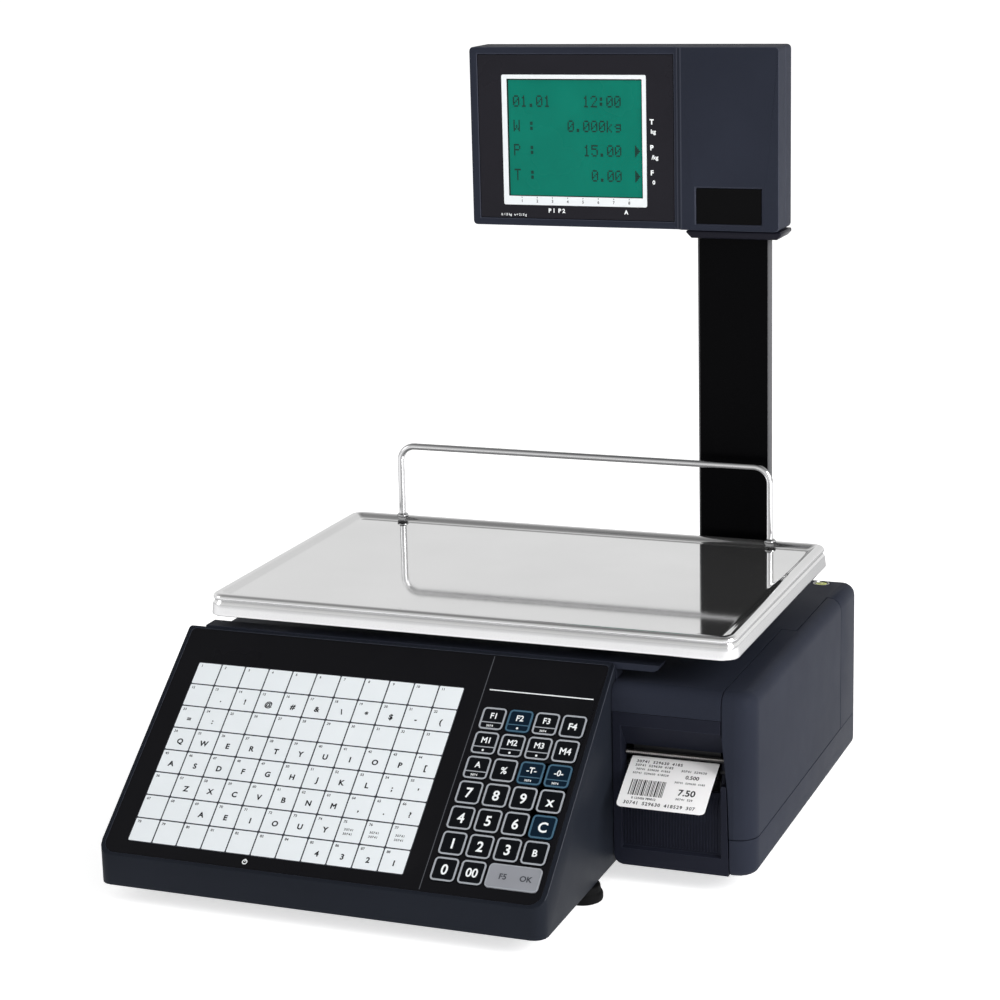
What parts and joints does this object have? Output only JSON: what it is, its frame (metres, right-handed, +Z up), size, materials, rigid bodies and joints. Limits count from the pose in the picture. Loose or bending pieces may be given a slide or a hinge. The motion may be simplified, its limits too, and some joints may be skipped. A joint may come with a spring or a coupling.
{
  "type": "label printing scale",
  "caption": "Counter label printing scale: stainless platter, sloped keyboard, label printer behind a side door, and a display head on a rear pole.",
  "frame": {"origin": "middle of the footprint, on the counter", "axes": "+Z up, -Y towards the operator at the keyboard, +X to the printer door's side"},
  "size_m": [0.412, 0.424, 0.5327],
  "materials": {
    "case": "fine moulded texture",
    "dark": "fine moulded texture",
    "pole": "satin black",
    "bracket": "plain sheet",
    "film": "semi-gloss printed film",
    "blue_key": "semi-gloss printed film",
    "grey_key": "semi-gloss printed film",
    "sheet": "printed sheet under clear film",
    "stainless": "fine brushed, near mirror",
    "aluminium": "machined",
    "rubber": "matt",
    "paper": "thermal label paper",
    "reel": "moulded",
    "lcd": "backlit liquid crystal panel",
    "level": "clear vial",
    "socket": "moulded",
    "board": "solder mask"
  },
  "bodies": {
    "scale": {"upper_case": "case", "lower_case": "case", "keyboard_housing": "case", "head_front_shell": "case", "head_rear_shell": "case", "platter_carrier": "dark", "head_collar": "dark", "pole": "pole", "pole_bracket": "bracket", "keypad_overlay": "film", "display_window": "film", "speed_key_sheet": "sheet", "load_cell": "aluminium", "lcd_panel": "lcd", "spirit_level": "level", "power_inlet": "socket", "main_board": "board"},
    "door": {"printer_door": "case"},
    "cartridge": {"cartridge_front": "dark", "cartridge_frame": "dark", "tear_bar": "stainless", "printed_label": "paper"},
    "platter_set": {"platter": "stainless", "guard_rail": "stainless"},
    "thermal_head": {"print_head": "dark"},
    "roll": {"label_roll": "paper"},
    "reel": {"takeup_reel": "reel"},
    "platen": {"platen_roller": "rubber"},
    "rocker": {"power_switch": "socket"},
    "foot_front_left_set": {"foot_front_left": "rubber"},
    "foot_front_right_set": {"foot_front_right": "rubber"},
    "foot_rear_left_set": {"foot_rear_left": "rubber"},
    "foot_rear_right_set": {"foot_rear_right": "rubber"},
    "cap_shift": {"key_shift": "film"},
    "cap_lookup": {"key_lookup": "blue_key"},
    "cap_menu": {"key_menu": "film"},
    "cap_feed": {"key_feed": "film"},
    "cap_memo_1": {"key_memo_1": "film"},
    "cap_memo_2": {"key_memo_2": "film"},
    "cap_memo_3": {"key_memo_3": "film"},
    "cap_memo_4": {"key_memo_4": "film"},
    "cap_clerk": {"key_clerk": "film"},
    "cap_percent": {"key_percent": "film"},
    "cap_tare": {"key_tare": "blue_key"},
    "cap_zero_set": {"key_zero_set": "blue_key"},
    "cap_7": {"key_7": "film"},
    "cap_8": {"key_8": "film"},
    "cap_9": {"key_9": "film"},
    "cap_multiply": {"key_multiply": "film"},
    "cap_4": {"key_4": "film"},
    "cap_5": {"key_5": "film"},
    "cap_6": {"key_6": "film"},
    "cap_clear": {"key_clear": "blue_key"},
    "cap_1": {"key_1": "film"},
    "cap_2": {"key_2": "film"},
    "cap_3": {"key_3": "film"},
    "cap_auto": {"key_auto": "film"},
    "cap_0": {"key_0": "film"},
    "cap_00": {"key_00": "film"},
    "cap_print": {"key_print": "grey_key"}
  },
  "joints": [
    {"name": "door_hinge", "type": "hinge", "parent": "scale", "child": "door", "pos_m": [0.206, 0.16, 0.088], "axis": [0, 0, 1], "range_deg": [0, 100]},
    {"name": "cartridge_slide", "type": "slide", "parent": "scale", "child": "cartridge", "axis": [0, -1, 0], "range_m": [0, 0.2]},
    {"name": "platter_lift", "type": "slide", "parent": "scale", "child": "platter_set", "axis": [0, 0, 1], "range_m": [0, 0.04]},
    {"name": "thermal_head_tilt", "type": "hinge", "parent": "scale", "child": "thermal_head", "pos_m": [0.15, -0.024, 0.096], "axis": [-1, 0, 0], "range_deg": [0, 8], "stiffness_Nm_per_rad": 0.15, "springref_deg": -5.73},
    {"name": "roll_spin", "type": "hinge", "parent": "cartridge", "child": "roll", "pos_m": [0.1465, 0.078, 0.053], "axis": [1, 0, 0], "continuous": true},
    {"name": "reel_spin", "type": "hinge", "parent": "cartridge", "child": "reel", "pos_m": [0.14675, -0.007, 0.05], "axis": [1, 0, 0], "continuous": true},
    {"name": "platen_spin", "type": "hinge", "parent": "cartridge", "child": "platen", "pos_m": [0.1485, -0.062, 0.08], "axis": [1, 0, 0], "continuous": true},
    {"name": "power_rocker", "type": "hinge", "parent": "scale", "child": "rocker", "pos_m": [-0.095, 0.2055, 0.062], "axis": [-1, 0, 0], "range_deg": [0, 14]},
    {"name": "foot_front_left_screw", "type": "slide", "parent": "scale", "child": "foot_front_left_set", "axis": [0, 0, -1], "range_m": [0, 0.008]},
    {"name": "foot_front_right_screw", "type": "slide", "parent": "scale", "child": "foot_front_right_set", "axis": [0, 0, -1], "range_m": [0, 0.008]},
    {"name": "foot_rear_left_screw", "type": "slide", "parent": "scale", "child": "foot_rear_left_set", "axis": [0, 0, -1], "range_m": [0, 0.008]},
    {"name": "foot_rear_right_screw", "type": "slide", "parent": "scale", "child": "foot_rear_right_set", "axis": [0, 0, -1], "range_m": [0, 0.008]},
    {"name": "press_shift", "type": "slide", "parent": "scale", "child": "cap_shift", "axis": [0, 0.6223, -0.7828], "range_m": [0, 0.0005], "stiffness_N_per_m": 1500},
    {"name": "press_lookup", "type": "slide", "parent": "scale", "child": "cap_lookup", "axis": [0, 0.6223, -0.7828], "range_m": [0, 0.0005], "stiffness_N_per_m": 1500},
    {"name": "press_menu", "type": "slide", "parent": "scale", "child": "cap_menu", "axis": [0, 0.6223, -0.7828], "range_m": [0, 0.0005], "stiffness_N_per_m": 1500},
    {"name": "press_feed", "type": "slide", "parent": "scale", "child": "cap_feed", "axis": [0, 0.6223, -0.7828], "range_m": [0, 0.0005], "stiffness_N_per_m": 1500},
    {"name": "press_memo_1", "type": "slide", "parent": "scale", "child": "cap_memo_1", "axis": [0, 0.6223, -0.7828], "range_m": [0, 0.0005], "stiffness_N_per_m": 1500},
    {"name": "press_memo_2", "type": "slide", "parent": "scale", "child": "cap_memo_2", "axis": [0, 0.6223, -0.7828], "range_m": [0, 0.0005], "stiffness_N_per_m": 1500},
    {"name": "press_memo_3", "type": "slide", "parent": "scale", "child": "cap_memo_3", "axis": [0, 0.6223, -0.7828], "range_m": [0, 0.0005], "stiffness_N_per_m": 1500},
    {"name": "press_memo_4", "type": "slide", "parent": "scale", "child": "cap_memo_4", "axis": [0, 0.6223, -0.7828], "range_m": [0, 0.0005], "stiffness_N_per_m": 1500},
    {"name": "press_clerk", "type": "slide", "parent": "scale", "child": "cap_clerk", "axis": [0, 0.6223, -0.7828], "range_m": [0, 0.0005], "stiffness_N_per_m": 1500},
    {"name": "press_percent", "type": "slide", "parent": "scale", "child": "cap_percent", "axis": [0, 0.6223, -0.7828], "range_m": [0, 0.0005], "stiffness_N_per_m": 1500},
    {"name": "press_tare", "type": "slide", "parent": "scale", "child": "cap_tare", "axis": [0, 0.6223, -0.7828], "range_m": [0, 0.0005], "stiffness_N_per_m": 1500},
    {"name": "press_zero_set", "type": "slide", "parent": "scale", "child": "cap_zero_set", "axis": [0, 0.6223, -0.7828], "range_m": [0, 0.0005], "stiffness_N_per_m": 1500},
    {"name": "press_7", "type": "slide", "parent": "scale", "child": "cap_7", "axis": [0, 0.6223, -0.7828], "range_m": [0, 0.0005], "stiffness_N_per_m": 1500},
    {"name": "press_8", "type": "slide", "parent": "scale", "child": "cap_8", "axis": [0, 0.6223, -0.7828], "range_m": [0, 0.0005], "stiffness_N_per_m": 1500},
    {"name": "press_9", "type": "slide", "parent": "scale", "child": "cap_9", "axis": [0, 0.6223, -0.7828], "range_m": [0, 0.0005], "stiffness_N_per_m": 1500},
    {"name": "press_multiply", "type": "slide", "parent": "scale", "child": "cap_multiply", "axis": [0, 0.6223, -0.7828], "range_m": [0, 0.0005], "stiffness_N_per_m": 1500},
    {"name": "press_4", "type": "slide", "parent": "scale", "child": "cap_4", "axis": [0, 0.6223, -0.7828], "range_m": [0, 0.0005], "stiffness_N_per_m": 1500},
    {"name": "press_5", "type": "slide", "parent": "scale", "child": "cap_5", "axis": [0, 0.6223, -0.7828], "range_m": [0, 0.0005], "stiffness_N_per_m": 1500},
    {"name": "press_6", "type": "slide", "parent": "scale", "child": "cap_6", "axis": [0, 0.6223, -0.7828], "range_m": [0, 0.0005], "stiffness_N_per_m": 1500},
    {"name": "press_clear", "type": "slide", "parent": "scale", "child": "cap_clear", "axis": [0, 0.6223, -0.7828], "range_m": [0, 0.0005], "stiffness_N_per_m": 1500},
    {"name": "press_1", "type": "slide", "parent": "scale", "child": "cap_1", "axis": [0, 0.6223, -0.7828], "range_m": [0, 0.0005], "stiffness_N_per_m": 1500},
    {"name": "press_2", "type": "slide", "parent": "scale", "child": "cap_2", "axis": [0, 0.6223, -0.7828], "range_m": [0, 0.0005], "stiffness_N_per_m": 1500},
    {"name": "press_3", "type": "slide", "parent": "scale", "child": "cap_3", "axis": [0, 0.6223, -0.7828], "range_m": [0, 0.0005], "stiffness_N_per_m": 1500},
    {"name": "press_auto", "type": "slide", "parent": "scale", "child": "cap_auto", "axis": [0, 0.6223, -0.7828], "range_m": [0, 0.0005], "stiffness_N_per_m": 1500},
    {"name": "press_0", "type": "slide", "parent": "scale", "child": "cap_0", "axis": [0, 0.6223, -0.7828], "range_m": [0, 0.0005], "stiffness_N_per_m": 1500},
    {"name": "press_00", "type": "slide", "parent": "scale", "child": "cap_00", "axis": [0, 0.6223, -0.7828], "range_m": [0, 0.0005], "stiffness_N_per_m": 1500},
    {"name": "press_print", "type": "slide", "parent": "scale", "child": "cap_print", "axis": [0, 0.6223, -0.7828], "range_m": [0, 0.0005], "stiffness_N_per_m": 1500}
  ],
  "couplings": [
    {"joint": "platen_spin", "follows": "roll_spin", "ratio": 5.3333},
    {"joint": "reel_spin", "follows": "roll_spin", "ratio": 3.2}
  ]
}
